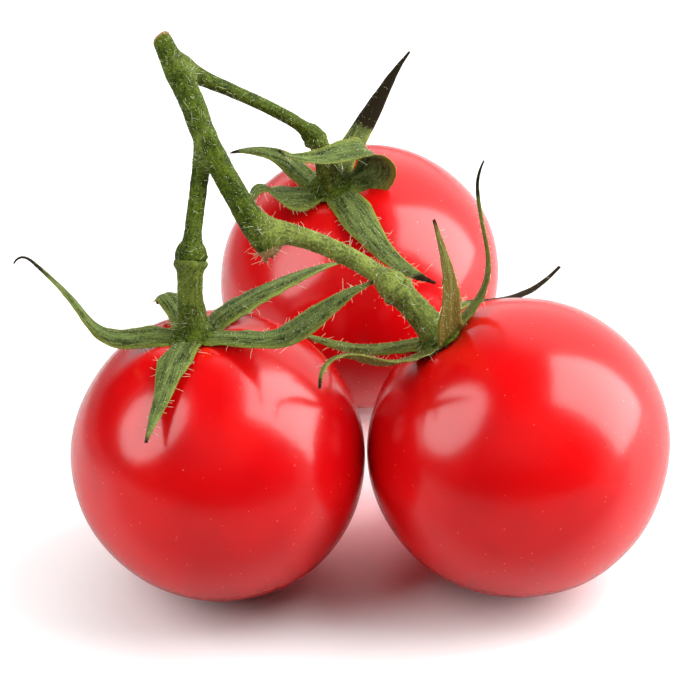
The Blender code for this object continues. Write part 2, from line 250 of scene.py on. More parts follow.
# %% Speck group
speck_group, given, result = start_group(
    "scattered specks",
    [("Vector", "Vector", (0, 0, 0)), ("Scale", "Float", 2000.0), ("Size", "Float", 0.2),
     ("Share", "Float", 0.3)],
    [("Mask", "Float")])
wires = {"Vector": given["Vector"], "Scale": given["Scale"]}
cells = place(speck_group, "ShaderNodeTexVoronoi", wires).outputs
dot = stepped(speck_group, cells["Distance"], given["Size"], 0.0)
drawn = place(speck_group, "ShaderNodeSeparateColor", {"Color": cells["Color"]}).outputs[0]
chosen = maths(speck_group, "LESS_THAN", drawn, given["Share"])
speck_group.links.new(maths(speck_group, "MULTIPLY", dot, chosen), result["Mask"])
print("group:", speck_group.name)

# %% [markdown]
# ## Living green
#
# Stem, calyx and sepals share one tissue. Its colour is never even: darker and lighter
# clouds about a millimetre across, finer grain inside them, and long fibres that follow
# the growth. The group mixes these from a slow noise, a fast noise, and a noise read in
# the mesh's own "fibre" coordinates, which are squeezed along the stem so that the noise
# stretches into streaks.

# %% Green tissue group
CLOUD_SCALE, GRAIN_SCALE, STREAK_SCALE = 420.0, 3000.0, 2.6
GRAIN_SHARE = 0.62            # how much of the even part is fine grain
tissue_group, given, result = start_group(
    "green tissue",
    [("Dark", "Color", (0.02, 0.05, 0.01, 1)), ("Light", "Color", (0.3, 0.45, 0.15, 1)),
     ("Streaks", "Float", 0.5)],
    [("Color", "Color"), ("Height", "Float")])
spot = room_point(tissue_group)
fibre = place(tissue_group, "ShaderNodeAttribute", attribute_name="fibre").outputs["Vector"]
clouds = clouded(tissue_group, spot, CLOUD_SCALE, 3.0)
grain = clouded(tissue_group, spot, GRAIN_SCALE, 3.0)
streak = clouded(tissue_group, fibre, STREAK_SCALE, 3.0)
even = weighed(tissue_group, GRAIN_SHARE, clouds, grain)
whole = weighed(tissue_group, given["Streaks"], even, streak)
tone = stepped(tissue_group, whole, 0.37, 0.63)
colour = mixed(tissue_group, tone, given["Dark"], given["Light"])
tissue_group.links.new(colour, result["Color"])
tissue_group.links.new(whole, result["Height"])
print("group:", tissue_group.name)

# %% [markdown]
# ## Drying out
#
# Thin green tips die first. They turn olive, then brown, and end nearly black, and the cut
# and torn ends of the stalk go tan. The mesh carries how dry each point is, from 0 to 1,
# and a little noise breaks up the border so that it isn't a ring.

# %% Drying group
BORDER_SCALE, BORDER_WAVER = 900.0, 0.7
drying_group, given, result = start_group(
    "drying out",
    [("Color", "Color", (0.1, 0.2, 0.05, 1)), ("Dry", "Color", (0.03, 0.02, 0.008, 1))],
    [("Color", "Color"), ("Mask", "Float")])
ragged = clouded(drying_group, room_point(drying_group), BORDER_SCALE)
waver = maths(drying_group, "MULTIPLY", maths(drying_group, "SUBTRACT", ragged, 0.5), BORDER_WAVER)
border = maths(drying_group, "ADD", mark(drying_group, "dry"), waver)
amount = stepped(drying_group, border, 0.25, 0.75)
drying_group.links.new(mixed(drying_group, amount, given["Color"], given["Dry"]), result["Color"])
drying_group.links.new(amount, result["Mask"])
print("group:", drying_group.name)

# %% [markdown]
# ## Ripe skin
#
# A tomato's red sits in the flesh just under a clear waxy skin. The shader does the same:
# a deep red base, a little light scattered under the surface, and a smooth coat. The red
# drifts slightly from place to place, pale pores are sprinkled over it, the shoulder round
# the stem is a touch more orange, and the scar where the flower fell off is dry and tan.

# %% Ripe skin material
DEEP_RED, BRIGHT_RED = (0.42, 0.0008, 0.0022), (0.51, 0.0012, 0.0018)
PALE_PORE, DARK_MOTE = (0.72, 0.13, 0.08), (0.1, 0.004, 0.002)
ORANGE_SHOULDER, TAN_SCAR = (0.5, 0.02, 0.002), (0.32, 0.17, 0.06)
SPECK_STRENGTH = 0.7
WAX = 0.2
ripe_skin, tree, shader = start_material(
    "ripe_skin", Subsurface_Weight=0.15, Subsurface_Scale=0.002, Coat_Roughness=0.13,
    Coat_IOR=1.4)
shader.inputs["Subsurface Radius"].default_value = (1.0, 0.12, 0.08)
spot = room_point(tree)
scar = mark(tree, "scar")
red = mixed(tree, stepped(tree, clouded(tree, spot, 90.0), 0.3, 0.7), DEEP_RED, BRIGHT_RED)
PORES = {"Scale": 900.0, "Size": 0.16, "Share": 0.3}
MOTES = {"Scale": 520.0, "Size": 0.09, "Share": 0.12}
for speck_colour, kind in ((PALE_PORE, PORES), (DARK_MOTE, MOTES)):
    specks = use_group(tree, speck_group, {"Vector": spot, **kind})["Mask"]
    red = mixed(tree, maths(tree, "MULTIPLY", specks, SPECK_STRENGTH), red, speck_colour)
red = mixed(tree, mark(tree, "shoulder"), red, ORANGE_SHOULDER)
red = mixed(tree, scar, red, TAN_SCAR)
tree.links.new(red, shader.inputs["Base Color"])
fine = clouded(tree, spot, 1500.0)
gloss = stepped(tree, fine, 0.2, 0.8, 0.18, 0.23)
tree.links.new(weighed(tree, scar, gloss, 0.75), shader.inputs["Roughness"])
wax = maths(tree, "MULTIPLY", maths(tree, "SUBTRACT", 1.0, scar), WAX)
tree.links.new(wax, shader.inputs["Coat Weight"])
bump = place(tree, "ShaderNodeBump", {"Strength": 0.05, "Distance": 0.0002, "Height": fine})
tree.links.new(bump.outputs[0], shader.inputs["Normal"])
print("material:", ripe_skin.name)

# %% [markdown]
# ## Stem, calyx and sepal green
#
# The three greens are the same tissue with their own dark and light ends, so one function
# builds them from the groups. Young tissue in the forks is yellower, and the same young
# mark paints the right pedicels lighter and yellower, as if lit: painted light. Fuzz is too
# fine to model hair by hair everywhere, so pale specks and a soft sheen stand for the
# shortest.

# %% Green materials
PALE_GLAND, PALE_RIB = (0.32, 0.38, 0.12), (0.2, 0.26, 0.07)
YELLOW_RIM, RUST_BROWN = (0.24, 0.27, 0.035), (0.12, 0.085, 0.012)
GLAND_STRENGTH, RIB_STRENGTH = 0.5, 0.4
YOUNG_SHADE = 0.3             # how dark the dark end of young tissue is, next to its light end


def green_material(name, dark, light, young, dry, streaks, veins=False):
    """One green: the tissue, pale specks, yellow young parts (partly painted light) and dry ends.
    """
    made, tree, shader = start_material(
        name, Subsurface_Weight=0.08, Subsurface_Scale=0.001, Sheen_Weight=0.006,
        Sheen_Roughness=0.4, Specular_IOR_Level=0.08)
    shader.inputs["Sheen Tint"].default_value = (0.75, 0.9, 0.6, 1)
    # the young mark: yellow young tissue, and painted light on the right pedicels
    youth_and_light = mark(tree, "young")
    deep = mixed(tree, youth_and_light, dark, [c * YOUNG_SHADE for c in young])
    pale = mixed(tree, youth_and_light, light, young)
    tissue = use_group(tree, tissue_group, {"Dark": deep, "Light": pale, "Streaks": streaks})
    glands = use_group(tree, speck_group, {
        "Vector": room_point(tree), "Scale": 2700.0, "Size": 0.36, "Share": 0.45})["Mask"]
    shown = maths(tree, "MULTIPLY", glands, GLAND_STRENGTH)
    colour = mixed(tree, shown, tissue["Color"], PALE_GLAND)
    if veins:
        rib = maths(tree, "MULTIPLY", mark(tree, "rib"), RIB_STRENGTH)
        colour = mixed(tree, rib, colour, PALE_RIB)
        colour = mixed(tree, mark(tree, "rim"), colour, YELLOW_RIM)
        colour = mixed(tree, mark(tree, "rust"), colour, RUST_BROWN)
    dried = use_group(tree, drying_group, {"Color": colour, "Dry": (*dry, 1)})
    tree.links.new(dried["Color"], shader.inputs["Base Color"])
    height = tissue["Height"]
    tree.links.new(stepped(tree, height, 0.3, 0.7, 0.5, 0.75), shader.inputs["Roughness"])
    lift = maths(tree, "ADD", glands, height)
    bump = place(tree, "ShaderNodeBump", {"Strength": 0.8, "Distance": 0.0003, "Height": lift})
    tree.links.new(bump.outputs[0], shader.inputs["Normal"])
    print("material:", made.name)
    return made


stem_green = green_material(
    "stem_green", dark=(0.006, 0.014, 0.0004), light=(0.066, 0.096, 0.005),
    young=(0.23, 0.28, 0.06), dry=(0.2, 0.12, 0.045), streaks=0.3)
calyx_green = green_material(
    "calyx_green", dark=(0.006, 0.014, 0.0006), light=(0.07, 0.1, 0.007),
    young=(0.16, 0.18, 0.015), dry=(0.12, 0.08, 0.03), streaks=0.2)
sepal_green = green_material(
    "sepal_green", dark=(0.005, 0.011, 0.001), light=(0.12, 0.162, 0.045),
    young=(0.09, 0.115, 0.013), dry=(0.011, 0.007, 0.0015), streaks=0.5, veins=True)

# %% [markdown]
# ## Hair
#
# Tomato hairs are clear, and look white where light catches them. They grow out of green
# tissue, so the colour runs from pale green at the foot to nearly white at the tip.

# %% Hair material
HAIR_FOOT, HAIR_MIDDLE, HAIR_TIP = (0.24, 0.32, 0.09), (0.5, 0.54, 0.36), (0.66, 0.68, 0.5)
pale_hair, tree, shader = start_material("pale_hair", Roughness=0.4)
pale = mixed(tree, mark(tree, "tip"), HAIR_FOOT, HAIR_TIP)
uneven = stepped(tree, clouded(tree, room_point(tree), 700.0), 0.35, 0.75)
tree.links.new(mixed(tree, uneven, pale, HAIR_MIDDLE), shader.inputs["Base Color"])
print("material:", pale_hair.name)

# %% [markdown]
# ## From rings to a closed mesh
#
# Berries, stems and sepals are all lofts: rings of points, one after another, joined with
# quads and closed at both ends. Each point may carry marks, such as how dry it is, which
# the materials read back by name.

# %% Loft helper
def blend(values, share):
    """Smooth curve through equally spaced values, read at a share from 0 to 1."""
    last = len(values) - 1
    if last == 0:
        return values[0]
    spot = min(max(share, 0) * last, last - 1e-9)
    index = int(spot)
    u = spot - index
    before, here = values[max(index - 1, 0)], values[index]
    there, after = values[index + 1], values[min(index + 2, last)]
    return 0.5 * (2 * here + (there - before) * u
                  + (2 * before - 5 * here + 4 * there - after) * u ** 2
                  + (3 * here - before - 3 * there + after) * u ** 3)


def ease(value, low, high):
    """0 below low, 1 above high, smooth between."""
    share = min(max((value - low) / (high - low), 0), 1)
    return share * share * (3 - 2 * share)


def finish_piece(name, made, material, slot, *nodes):
    """A bmesh in millimetres becomes a named piece in metres, riding on the truss."""
    bmesh.ops.recalc_face_normals(made, faces=made.faces)
    bmesh.ops.scale(made, vec=(MM, MM, MM), verts=made.verts)
    mesh = bpy.data.meshes.new(name)
    made.to_mesh(mesh)
    made.free()
    mesh.materials.append(material)
    mesh.shade_smooth()
    piece = bpy.data.objects.new(name, mesh)
    bpy.context.scene.collection.objects.link(piece)
    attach(piece, "root")
    if nodes:
        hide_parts(*nodes)
    print(f"{name}: {len(mesh.vertices)} points")
    return piece


def loft(rings, marks=None, vectors=None):
    """Joins equal rings into a closed bmesh; marks and vectors hold one row per ring."""
    marks, vectors = marks or {}, vectors or {}
    made = bmesh.new()
    for key in marks:
        made.verts.layers.float.new(key)
    for key in vectors:
        made.verts.layers.float_vector.new(key)
    layers = [(made.verts.layers.float[key], rows) for key, rows in marks.items()]
    layers += [(made.verts.layers.float_vector[key], rows) for key, rows in vectors.items()]
    loops = [[made.verts.new(point) for point in ring] for ring in rings]
    for layer, rows in layers:
        for loop, row in zip(loops, rows):
            for k, vert in enumerate(loop):
                vert[layer] = row[k] if isinstance(row, (list, tuple)) else row
    sides = len(loops[0])
    for low, high in zip(loops, loops[1:]):
        for i in range(sides):
            j = (i + 1) % sides
            made.faces.new((low[i], low[j], high[j], high[i]))
    made.faces.new(loops[0])
    made.faces.new(loops[-1])
    return made


print("loft helper ready")

# %% [markdown]
# ## Berries
#
# A berry could be a scaled sphere, but light shows at once that a real one isn't round.
# The skin rises in soft lobes around the stem and sinks into a dimple, the lower half
# leans a little to one side, and low broad dents run over the whole. Each ring of the loft
# goes through those changes, then through the berry's own lean, and last the underside is
# pressed flat on the table. At the far end from the stem sits the small dry scar of the
# flower.

# %% Berries
BERRY_RINGS, BERRY_SIDES = 80, 120
POLE_GAP = 0.003              # share of the way that is left open at each pole
RING_CROWDING = 0.1           # how much closer the rings stand near the poles
LOBE_RADIUS, LOBE_SPREAD = 6.5, 4.2          # where the lobes rise round the stem, and how wide
DENT_HEIGHT, DENT_SCALE = 0.16, 0.11
GREEN_RING_RADIUS, SCAR_RADIUS = 3.4, 0.9
SHOULDER_STRENGTH = 0.6
# lobes: how many, how far they are turned, and how high they rise; sag: how far the lower
# half leans to the right
LOBES = {"left": (5, 0.6, 0.14), "right": (5, 2.1, 0.03), "back": (6, 4.0, 0.08)}
SAG = {"left": 0.42, "right": 0.34, "back": 0.1}


def berry_skin(berry, turn, around):
    """One skin point in the berry's own axes, and its shoulder and scar marks."""
    count, start, rise = LOBES[berry.name]
    radius = berry.width / 2 * math.sin(turn)
    upper = turn < math.pi / 2
    uneven = 1 + 0.35 * math.sin(around * 2 + start * 3)
    lobe = rise * uneven * math.cos(count * around + start + 0.5 * math.sin(around))
    near_stem = math.exp(-((radius - LOBE_RADIUS) / LOBE_SPREAD) ** 2) if upper else 0
    local = Vector((radius * math.cos(around), radius * math.sin(around),
                    berry.height / 2 * math.cos(turn)))
    out = local.normalized()
    local += out * lobe * near_stem
    local += out * DENT_HEIGHT * noise.noise(local * DENT_SCALE + Vector((start * 7, 0, 0)))
    if upper:
        local.z -= DIMPLE_DEPTH * math.exp(-(radius / DIMPLE_RADIUS) ** 2)
        return local, math.exp(-(radius / GREEN_RING_RADIUS) ** 2), 0
    scar = 1 - ease(radius, SCAR_RADIUS * 0.7, SCAR_RADIUS * 1.2)
    local.z += 0.25 * math.exp(-(radius / 1.6) ** 2) - 0.22 * scar
    return local, 0, scar


def make_berry(berry):
    """The whole berry as a loft from the dimple down to the flower scar."""
    rings, shoulders, scars = [], [], []
    for i in range(BERRY_RINGS + 1):
        turn = math.pi * min(max(i / BERRY_RINGS, POLE_GAP), 1 - POLE_GAP)
        turn -= RING_CROWDING * math.sin(turn * 2)
        ring, shoulder_row, scar_row = [], [], []
        for k in range(BERRY_SIDES):
            local, shoulder, scar = berry_skin(berry, turn, 2 * math.pi * k / BERRY_SIDES)
            point = berry.centre + berry.axes @ local
            below = (berry.centre.z - point.z) / (berry.height / 2)
            point.x += SAG[berry.name] * ease(below, 0, 0.75)
            point.z = max(point.z, 0)
            ring.append(point)
            shoulder_row.append(SHOULDER_STRENGTH * shoulder)
            scar_row.append(scar)
        rings.append(ring)
        shoulders.append(shoulder_row)
        scars.append(scar_row)
    made = loft(rings, {"shoulder": shoulders, "scar": scars})
    return finish_piece(f"{berry.name}_berry", made, ripe_skin, "ripe_skin",
                        f"{berry.name}_fruit")


berry_pieces = [make_berry(berry) for berry in berries]
print("berries:", len(berry_pieces))

# %% [markdown]
# ## Where the stems run
#
# The stalk runs from its cut end, past three forks, to a torn end. Each berry hangs on a
# pedicel, which has a knuckle in the middle: the place where a ripe berry lets go. The
# upper half belongs to the stalk, the lower half to the berry. Routes are lists of points
# in millimetres, measured from the bottom of a berry's dimple, and a radius at each.

# %% Stem helpers
class Stem:
    """A stem as a chain of points with a radius at each, its name, and its fork's web in mm."""

    def __init__(self, name, points, radii, web=None):
        self.name, self.points, self.radii, self.web = name, points, radii, web
        self.centres = np.array([tuple(p) for p in points])
        self.sizes = np.array(radii)

    def shorten(self, depth):
        """Leaves the last stretch out of the common skin, so it swells nothing behind it."""
        kept = sum((point - self.points[-1]).length > depth for point in self.points)
        self.centres, self.sizes = self.centres[:kept], self.sizes[:kept]


def route_length(points):
    """Length of a chain of points."""
    return sum((b - a).length for a, b in zip(points, points[1:]))


def resample(points, radii, spacing):
    """The same route in even short steps."""
    lengths = [0]
    for a, b in zip(points, points[1:]):
        lengths.append(lengths[-1] + (b - a).length)
    count = max(int(lengths[-1] / spacing), 8)
    new_points, new_radii, index = [], [], 0
    for i in range(count + 1):
        goal = lengths[-1] * i / count
        while index < len(lengths) - 2 and lengths[index + 1] < goal:
            index += 1
        share = (goal - lengths[index]) / max(lengths[index + 1] - lengths[index], 1e-9)
        new_points.append(points[index].lerp(points[index + 1], min(share, 1)))
        new_radii.append(radii[index] + (radii[index + 1] - radii[index]) * min(share, 1))
    return new_points, new_radii


print("stem helpers ready")

# %% Stalk route
STALK_STEP, STALK_SAMPLES = 0.3, 160
STALK_ROUTE = (((-4.9, 33.2, 23.2), 1.22), ((-2.7, 27.9, 21.4), 1.55),      # point and radius
               ((-0.9, 23.0, 20.5), 1.55), ((0.5, 17.6, 19.8), 1.5),
               ((2.4, 12.5, 18.8), 1.45), ((5.1, 8.2, 15.9), 1.5),
               ((7.8, 5.3, 12.7), 1.65), ((9.0, 4.2, 10.6), 1.15))
route = [left.place((0, 0, 0)) + Vector(point) for point, _ in STALK_ROUTE]


def on_route(share):
    """A point of the stalk's route, at a share from its cut end to its torn end."""
    return Vector([blend([p[k] for p in route], share) for k in range(3)])


shares = [i / (STALK_SAMPLES - 1) for i in range(STALK_SAMPLES)]
stalk_points = [on_route(share) for share in shares]
stalk_radii = [blend([radius for _, radius in STALK_ROUTE], share) for share in shares]
stalk = Stem("truss_stalk", *resample(stalk_points, stalk_radii, STALK_STEP))
print("stalk length in mm:", round(route_length(stalk.points), 1))

# %% Pedicel table
# knuckle: its place from the dimple; heading: the way through it; fork: which point of the
# stalk's route it joins; pull: how it bends into the fork; swell: how thick the knuckle is;
# upper and lower: radius of each half; flare and web: how it widens into the fork, in mm
PEDICELS = {
    "left": dict(knuckle=(-0.5, 2.7, 10.4), heading=(0.2, 1.6, 2.4), fork=3.35,
                 pull=(-0.6, -3.6, -3.0), swell=1.05, upper=1.05, lower=1.5, flare=0.15, web=0.8),
    "right": dict(knuckle=(-6.1, 1.0, 7.9), heading=(-4.5, 1.2, 4.2), fork=6.0,
                  pull=(5.0, 0.1, 0.5), swell=0.8, upper=1.2, lower=1.6, flare=0.35, web=1.7),
    "back": dict(knuckle=(-2.6, 0.1, 8.8), heading=(-2.4, -1.2, 4.0), fork=0.75,
                 pull=(4.6, -2.2, -1.6), swell=0.6, upper=0.85, lower=1.2, flare=0.75, web=1.5),
}
PEDICEL_STEP = 0.2
OVERLAP = 0.15                # mm that the two halves of a knuckle reach into each other
UPPER_SWELL = ((0, 0.3), (0.15, 0.42), (0.24, 0.74), (0.45, 0.9), (0.75, 0.87), (1.0, 0.64),
               (1.3, 0.44), (1.85, 0.27), (2.75, 0.1), (3.8, 0))
LOWER_SWELL = ((0, 0.0), (0.15, 0.1), (0.25, 0.4), (0.5, 0.58), (0.9, 0.56), (1.2, 0.36),
               (1.5, 0.16), (2.2, 0.04), (3.2, 0))


def swelling(profile, distance):
    """How much a knuckle swells at a distance from its end."""
    for (near, a), (far, b) in zip(profile, profile[1:]):
        if distance < far:
            return a + (b - a) * (distance - near) / (far - near)
    return 0


print("knuckles swell by mm:", {name: plan["swell"] for name, plan in PEDICELS.items()})

# %% Pedicels
def stem_along(name, handles, count, radius, web=None):
    """A stem along a curve; radius takes the run, the way left to go, and the point."""
    curve = geometry.interpolate_bezier(*handles, count)
    points, _ = resample(curve, [1] * count, PEDICEL_STEP)
    total, radii, run = route_length(points), [], 0
    for i, point in enumerate(points):
        run += (point - points[i - 1]).length if i else 0
        radii.append(radius(run, total - run, point))
    return Stem(name, points, radii, web)


def lower_pedicel(berry, plan, knuckle, heading):
    """From the calyx up to the knuckle's groove, flared at the foot."""
    def radius(run, left_to_go, _):
        flare = 0.7 * math.exp(-run / 1.3) + 0.25 * math.exp(-(run / 4.5) ** 2)
        return plan["lower"] + plan["swell"] * swelling(LOWER_SWELL, left_to_go) + flare

    foot, lift = berry.place((0, 0, berry.shoulder(0) + 0.9)), berry.place((0, 0, 4.6))
    handles = foot, lift, knuckle - heading * 3.1, knuckle + heading * OVERLAP
    return stem_along(f"{berry.name}_lower_pedicel", handles, 60, radius)


def upper_pedicel(berry, plan, knuckle, heading):
    """From the knuckle's groove to the middle of the stalk."""
    fork = on_route(plan["fork"] / (len(route) - 1))

    def radius(run, _, point):
        flare = plan["flare"] * math.exp(-max((fork - point).length - 1.5, 0) / 2.2)
        return plan["upper"] + plan["swell"] * swelling(UPPER_SWELL, run) + flare

    start = knuckle - heading * OVERLAP
    handle = start + heading * (1.1 + (fork - start).length / 5)
    handles = start, handle, fork + Vector(plan["pull"]), fork
    return stem_along(f"{berry.name}_upper_pedicel", handles, 90, radius, plan["web"])


uppers, lowers = [], []
for berry in berries:
    plan = PEDICELS[berry.name]
    knuckle = berry.place((0, 0, 0)) + Vector(plan["knuckle"])
    heading = Vector(plan["heading"]).normalized()
    lowers.append(lower_pedicel(berry, plan, knuckle, heading))
    uppers.append(upper_pedicel(berry, plan, knuckle, heading))
print("stems:", [stem.name for stem in [stalk, *uppers, *lowers]])

# %% [markdown]
# ## Webbed forks
#
# Two tubes pushed into each other meet in a hard crease, but a plant's fork is webbed: the
# surfaces flow together. The trick is a distance field. For any point, the distance to
# each tube is known, and a smooth minimum of these distances describes one skin round all
# of them, with a fillet in every crotch. Every tube is lofted by itself and its points
# then slide outwards onto the common skin, so the pieces stay separate and closed but look
# grown together.

# %% Common skin of the stalk and its branches
FORK_DEPTH = 1.2              # mm short of the stalk's middle where an arm stops shaping the skin
MOST_MOVED = 1.6              # mm that a point may slide
WEB_REACH = 0.7               # mm inside a neighbour where points no longer slide
for stem in uppers:
    stem.shorten(FORK_DEPTH)


def tube_distance(spots, stem):
    """Signed distance from many points to one tapered tube."""
    best = np.full(len(spots), 1e9)
    for a, b, ra, rb in zip(stem.centres, stem.centres[1:], stem.sizes, stem.sizes[1:]):
        run = b - a
        share = np.clip(((spots - a) @ run) / (run @ run), 0, 1)
        reach = np.linalg.norm(spots - a - share[:, None] * run, axis=1)
        best = np.minimum(best, reach - (ra + (rb - ra) * share))
    return best


def web_distance(spots, own, others):
    """Smooth minimum of the distances to a tube and to each of the others, and the nearest."""
    skin, nearest = tube_distance(spots, own), np.full(len(spots), 1e9)
    for other in others:
        theirs = tube_distance(spots, other)
        web = own.web or other.web
        share = np.clip(0.5 + 0.5 * (theirs - skin) / web, 0, 1)
        skin = theirs + (skin - theirs) * share - web * share * (1 - share)
        nearest = np.minimum(nearest, theirs)
    return skin, nearest


def slide_onto_skin(spots, outward, own, others):
    """Moves points along their own outward direction until they lie on the common skin."""
    _, theirs = web_distance(spots, own, others)
    moved = np.zeros(len(spots))
    for _ in range(6):
        gap, _ = web_distance(spots + outward * moved[:, None], own, others)
        moved = np.clip(moved - gap * 0.8, 0, MOST_MOVED)
    inside = np.clip((theirs + WEB_REACH) / WEB_REACH, 0, 1)
    return moved * inside * inside * (3 - 2 * inside), theirs


print("arms stop shaping the skin at mm:", FORK_DEPTH)

# %% [markdown]
# ## Stalk and pedicels
#
# A stem isn't a pipe. It has low ribs along it, lumps where it grew unevenly, a clean
# slanted cut where it was snipped off, and a torn end where the plant's last flowers broke
# away. Displacing a cylinder could make the lumps but not the ends, so each stem is a loft
# with a few extra rings at either end, and fibres that keep the run along the stem.

# %% Stem ends
RIB_RISE, LUMP_RISE, FINE_LUMP_RISE = 0.035, 0.07, 0.045     # shares of the radius
FIBRE_ROUND, FIBRE_ALONG = 1.3, 0.22         # how the fibre pattern is stretched
CUT_SLANT = -0.4              # mm that one side of the cut stands out further
FRESH_REACH, FRESH_SHARE = 1.3, 0.4          # mm round a fork that is young, and how young
# a row of an end: how wide it is, how far it stands out past the stem, and how ragged it is
PLAIN_END = ()
CUT_END = ((0.96, 0.02, 0.05), (0.8, -0.1, 0.1), (0.5, -0.3, 0.12), (0.2, -0.34, 0.1))
TORN_END = ((1.02, 0.15, 0.7), (0.86, 0.35, 1.3), (0.62, 0.1, 0.9), (0.34, -0.1, 0.6),
            (0.12, -0.2, 0.3))


def stem_stations(count, start_end, far_end):
    """Which point of the route each ring stands on, and its width, reach and raggedness."""
    rows = [(0, wide, -out, ragged) for wide, out, ragged in reversed(start_end)]
    rows += [(i, 1, 0, 0) for i in range(count)]
    return rows + [(count - 1, wide, out, ragged) for wide, out, ragged in far_end]


print("rings of a torn end:", len(TORN_END))

# %% Stem builder
def stem_rings(stem, sides, ribs, ends, slant):
    """Ribbed and lumpy rings: points, outward ways, fibres, runs, and which rings are free."""
    across = Vector((1, 0, 0))
    rings, outs, fibres, runs, free = [], [], [], [], []
    run, last = 0, 0
    for i, wide, reach, ragged in stem_stations(len(stem.points), *ends):
        point = stem.points[i]
        ahead = stem.points[min(i + 1, len(stem.points) - 1)] - stem.points[max(i - 1, 0)]
        ahead.normalize()
        across = (across - ahead * across.dot(ahead)).normalized()
        over = ahead.cross(across)
        run, last = run + (point - stem.points[last]).length, i
        ring, out_row, fibre_row = [], [], []
        for k in range(sides):
            turn = 2 * math.pi * k / sides
            out = across * math.cos(turn) + over * math.sin(turn)
            rib = RIB_RISE * math.cos(ribs * turn + 1.3 * math.sin(run * 0.25))
            lump = LUMP_RISE * noise.noise(point * 0.5 + out * 1.1)
            lump += FINE_LUMP_RISE * noise.noise(point * 1.7 + out * 2.2)
            tear = noise.noise(out * 4.5 * wide + Vector((wide * 9, run, 0)))
            shift = reach + ragged * abs(tear) * 1.6 * (1 if i else -1)
            shift += slant * math.cos(turn) * math.exp(-run / 0.8) * wide
            ring.append(point + out * stem.radii[i] * wide * (1 + rib + lump) + ahead * shift)
            out_row.append(out)
            fibre_row.append(Vector((math.cos(turn) * FIBRE_ROUND, math.sin(turn) * FIBRE_ROUND,
                                     run * FIBRE_ALONG)))
        rings.append(ring)
        outs.append(out_row)
        fibres.append(fibre_row)
        runs.append(run)
        free.append(wide == 1)
    return rings, outs, fibres, runs, free


def make_stem(stem, sides, ribs, others=(), dry=None, young=None,
              ends=(PLAIN_END, PLAIN_END), slant=0):
    """Lofts one stem, webbed into its neighbours, with marks for colour."""
    rings, outs, fibres, runs, free = stem_rings(stem, sides, ribs, ends, slant)
    near = np.full(len(rings) * sides, 9.0)
    if others:
        spots = np.array([tuple(p) for ring in rings for p in ring])
        outward = np.array([tuple(o) for row in outs for o in row])
        moved, near = slide_onto_skin(spots, outward, stem, others)
        spots += outward * (moved * np.repeat(free, sides))[:, None]
        rings = [[Vector(spot) for spot in row] for row in spots.reshape(-1, sides, 3)]
    total = runs[-1]
    # young share: young tissue round forks, and painted light given to the right pedicels
    youth_and_light = [[max(ease(FRESH_REACH - gap, 0, FRESH_REACH) * FRESH_SHARE,
                  young(here / total) if young else 0) for gap in row]
             for here, row in zip(runs, near.reshape(-1, sides))]
    dryness = [[dry(here, total) if dry else 0.0] * sides for here in runs]
    made = loft(rings, {"young": youth_and_light, "dry": dryness}, {"fibre": fibres})
    return finish_piece(stem.name + "_green", made, stem_green, "stem_green", stem.name)


print("most that a point slides in mm:", MOST_MOVED)

# %% Stems
STEM_SIDES, ARM_SIDES = 28, 24
STEM_RIBS, ARM_RIBS = 5, 4


def stalk_dryness(run, total):
    """Brown at the cut end and at the torn end."""
    return max(1 - ease(run, 0.1, 0.8), ease(run, total - 0.7, total))


stem_pieces = [make_stem(stalk, STEM_SIDES, STEM_RIBS, uppers, stalk_dryness,
                         ends=(CUT_END, TORN_END), slant=CUT_SLANT)]
for stem in uppers:
    # painted light: the right upper pedicel is made lighter and yellower, as if lit from above
    on_right = stem.name.startswith("right")
    young = (lambda share: 0.75 - 0.2 * ease(share, 0.5, 1.0)) if on_right else None
    stem_pieces.append(make_stem(stem, ARM_SIDES, ARM_RIBS, [stalk], young=young))
for stem in lowers:
    # painted light: the right lower pedicel is made lighter, as if lit; the left is young tissue
    fresh_and_lit = 0.5 if stem.name.startswith("right") else 0.1
    young = lambda share: fresh_and_lit + 0.2 * share
    stem_pieces.append(make_stem(stem, STEM_SIDES, STEM_RIBS, young=young))
print("stem pieces:", len(stem_pieces))

# %% [markdown]
# ## Calyx bases
#
# Under the stem's foot the five sepals join in a small skirt. It is lofted from the berry's
# axis outwards, over the top and back underneath, and reaches out further towards each
# sepal, so that sepals and foot melt into one star.

# %% Sepal table
STRAIGHT = (0,)               # no sway, or no roll, from root to tip
